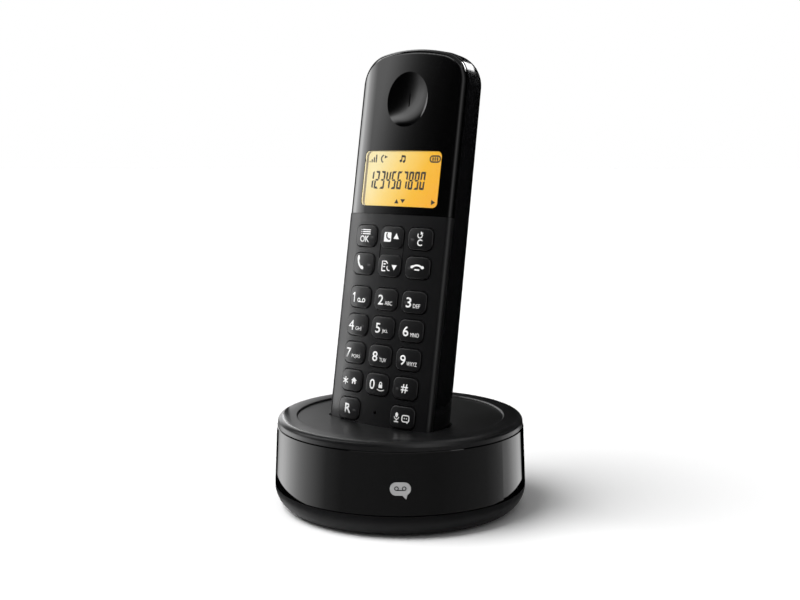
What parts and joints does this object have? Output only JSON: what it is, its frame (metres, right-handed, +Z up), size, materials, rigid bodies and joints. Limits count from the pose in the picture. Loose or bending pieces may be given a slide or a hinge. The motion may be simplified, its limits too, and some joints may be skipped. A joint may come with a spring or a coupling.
{
  "type": "cordless phone",
  "caption": "Cordless phone handset with keypad, amber display and ear dish, standing in a round charging base with a shallow dish and a gloss side band.",
  "frame": {"origin": "on the floor under the middle of the round base", "axes": "+Z up; the front of the base and the handset's keys face -Y; +X to the user's right"},
  "size_m": [0.094, 0.094, 0.1687],
  "materials": {
    "matte_black": "fine spark texture, matt",
    "gloss_black": "polished, mirror-like",
    "satin_black": "smooth satin",
    "key_black": "matt with white print",
    "clear_window": "clear polished acrylic",
    "lcd": "amber backlit liquid crystal",
    "white_plastic": "translucent white",
    "speaker_metal": "plain steel can",
    "foam": "open foam",
    "board": "green solder mask",
    "silicone": "grey silicone",
    "dome_metal": "tinned and stainless sheet",
    "cell_sleeve": "shrink sleeve",
    "contact_gold": "gold-plated",
    "screw_steel": "blackened steel",
    "socket_black": "moulded",
    "capacitor_sleeve": "shrink sleeve",
    "rubber": "soft grey-black rubber"
  },
  "bodies": {
    "base": {"base_top_shell": "matte_black", "base_inner_ring": "matte_black", "base_gloss_band": "gloss_black", "base_bottom_tray": "matte_black", "indicator_lens": "white_plastic", "indicator_light_pipe": "clear_window", "indicator_led": "white_plastic", "base_pcb": "board", "base_charge_contacts": "contact_gold", "base_antennas": "dome_metal", "line_jack": "socket_black", "power_jack": "socket_black", "paging_switch": "socket_black", "rubber_feet": "rubber", "base_screws": "screw_steel", "base_rf_shield": "dome_metal", "base_capacitors": "capacitor_sleeve"},
    "handset": {"handset_front_shell": "matte_black", "handset_rear_shell": "satin_black", "upper_fascia": "gloss_black", "display_window": "clear_window", "lcd_panel": "lcd", "lcd_backlight": "white_plastic", "earpiece_speaker": "speaker_metal", "earpiece_gasket": "foam", "handset_pcb": "board", "keypad_mat": "silicone", "dome_sheet": "dome_metal", "microphone": "speaker_metal", "mic_boot": "silicone", "loudspeaker": "speaker_metal", "battery_cells": "cell_sleeve", "battery_contacts": "dome_metal", "handset_charge_contacts": "contact_gold", "handset_antenna": "dome_metal", "handset_screws": "screw_steel", "handset_rf_shield": "dome_metal"},
    "battery_door": {"battery_door": "satin_black"},
    "nav_rocker": {"nav_rocker": "key_black"},
    "paging_button": {"paging_button": "matte_black"},
    "key_menu": {"key_menu": "key_black"},
    "key_redial": {"key_redial": "key_black"},
    "key_talk": {"key_talk": "key_black"},
    "key_hangup": {"key_hangup": "key_black"},
    "key_1": {"key_1": "key_black"},
    "key_2": {"key_2": "key_black"},
    "key_3": {"key_3": "key_black"},
    "key_4": {"key_4": "key_black"},
    "key_5": {"key_5": "key_black"},
    "key_6": {"key_6": "key_black"},
    "key_7": {"key_7": "key_black"},
    "key_8": {"key_8": "key_black"},
    "key_9": {"key_9": "key_black"},
    "key_star": {"key_star": "key_black"},
    "key_0": {"key_0": "key_black"},
    "key_hash": {"key_hash": "key_black"},
    "key_recall": {"key_recall": "key_black"},
    "key_mute": {"key_mute": "key_black"}
  },
  "joints": [
    {"name": "handset_lift", "type": "slide", "parent": "base", "child": "handset", "axis": [0, 0.1624, 0.9867], "range_m": [0, 0.06]},
    {"name": "battery_door_hinge", "type": "hinge", "parent": "handset", "child": "battery_door", "pos_m": [0, 0.00827, 0.04138], "axis": [-1, 0, 0], "range_deg": [0, 70]},
    {"name": "nav_rocker_tilt", "type": "hinge", "parent": "handset", "child": "nav_rocker", "pos_m": [0, -0.00273, 0.09493], "axis": [1, 0, 0], "range_deg": [-3.5, 3.5], "stiffness_Nm_per_rad": 0.032},
    {"name": "key_menu_press", "type": "slide", "parent": "handset", "child": "key_menu", "axis": [0, 0.9867, -0.1624], "range_m": [0, 0.0008], "stiffness_N_per_m": 600, "springref_m": -0.0002},
    {"name": "key_redial_press", "type": "slide", "parent": "handset", "child": "key_redial", "axis": [0, 0.9867, -0.1624], "range_m": [0, 0.0008], "stiffness_N_per_m": 600, "springref_m": -0.0002},
    {"name": "key_talk_press", "type": "slide", "parent": "handset", "child": "key_talk", "axis": [0, 0.9867, -0.1624], "range_m": [0, 0.0008], "stiffness_N_per_m": 600, "springref_m": -0.0002},
    {"name": "key_hangup_press", "type": "slide", "parent": "handset", "child": "key_hangup", "axis": [0, 0.9867, -0.1624], "range_m": [0, 0.0008], "stiffness_N_per_m": 600, "springref_m": -0.0002},
    {"name": "key_1_press", "type": "slide", "parent": "handset", "child": "key_1", "axis": [0, 0.9867, -0.1624], "range_m": [0, 0.0008], "stiffness_N_per_m": 600, "springref_m": -0.0002},
    {"name": "key_2_press", "type": "slide", "parent": "handset", "child": "key_2", "axis": [0, 0.9867, -0.1624], "range_m": [0, 0.0008], "stiffness_N_per_m": 600, "springref_m": -0.0002},
    {"name": "key_3_press", "type": "slide", "parent": "handset", "child": "key_3", "axis": [0, 0.9867, -0.1624], "range_m": [0, 0.0008], "stiffness_N_per_m": 600, "springref_m": -0.0002},
    {"name": "key_4_press", "type": "slide", "parent": "handset", "child": "key_4", "axis": [0, 0.9867, -0.1624], "range_m": [0, 0.0008], "stiffness_N_per_m": 600, "springref_m": -0.0002},
    {"name": "key_5_press", "type": "slide", "parent": "handset", "child": "key_5", "axis": [0, 0.9867, -0.1624], "range_m": [0, 0.0008], "stiffness_N_per_m": 600, "springref_m": -0.0002},
    {"name": "key_6_press", "type": "slide", "parent": "handset", "child": "key_6", "axis": [0, 0.9867, -0.1624], "range_m": [0, 0.0008], "stiffness_N_per_m": 600, "springref_m": -0.0002},
    {"name": "key_7_press", "type": "slide", "parent": "handset", "child": "key_7", "axis": [0, 0.9867, -0.1624], "range_m": [0, 0.0008], "stiffness_N_per_m": 600, "springref_m": -0.0002},
    {"name": "key_8_press", "type": "slide", "parent": "handset", "child": "key_8", "axis": [0, 0.9867, -0.1624], "range_m": [0, 0.0008], "stiffness_N_per_m": 600, "springref_m": -0.0002},
    {"name": "key_9_press", "type": "slide", "parent": "handset", "child": "key_9", "axis": [0, 0.9867, -0.1624], "range_m": [0, 0.0008], "stiffness_N_per_m": 600, "springref_m": -0.0002},
    {"name": "key_star_press", "type": "slide", "parent": "handset", "child": "key_star", "axis": [0, 0.9867, -0.1624], "range_m": [0, 0.0008], "stiffness_N_per_m": 600, "springref_m": -0.0002},
    {"name": "key_0_press", "type": "slide", "parent": "handset", "child": "key_0", "axis": [0, 0.9867, -0.1624], "range_m": [0, 0.0008], "stiffness_N_per_m": 600, "springref_m": -0.0002},
    {"name": "key_hash_press", "type": "slide", "parent": "handset", "child": "key_hash", "axis": [0, 0.9867, -0.1624], "range_m": [0, 0.0008], "stiffness_N_per_m": 600, "springref_m": -0.0002},
    {"name": "key_recall_press", "type": "slide", "parent": "handset", "child": "key_recall", "axis": [0, 0.9867, -0.1624], "range_m": [0, 0.0008], "stiffness_N_per_m": 600, "springref_m": -0.0002},
    {"name": "key_mute_press", "type": "slide", "parent": "handset", "child": "key_mute", "axis": [0, 0.9867, -0.1624], "range_m": [0, 0.0008], "stiffness_N_per_m": 600, "springref_m": -0.0002},
    {"name": "paging_press", "type": "slide", "parent": "base", "child": "paging_button", "axis": [-0.6157, -0.788, 0], "range_m": [0, 0.0008], "stiffness_N_per_m": 600, "springref_m": -0.0002}
  ]
}
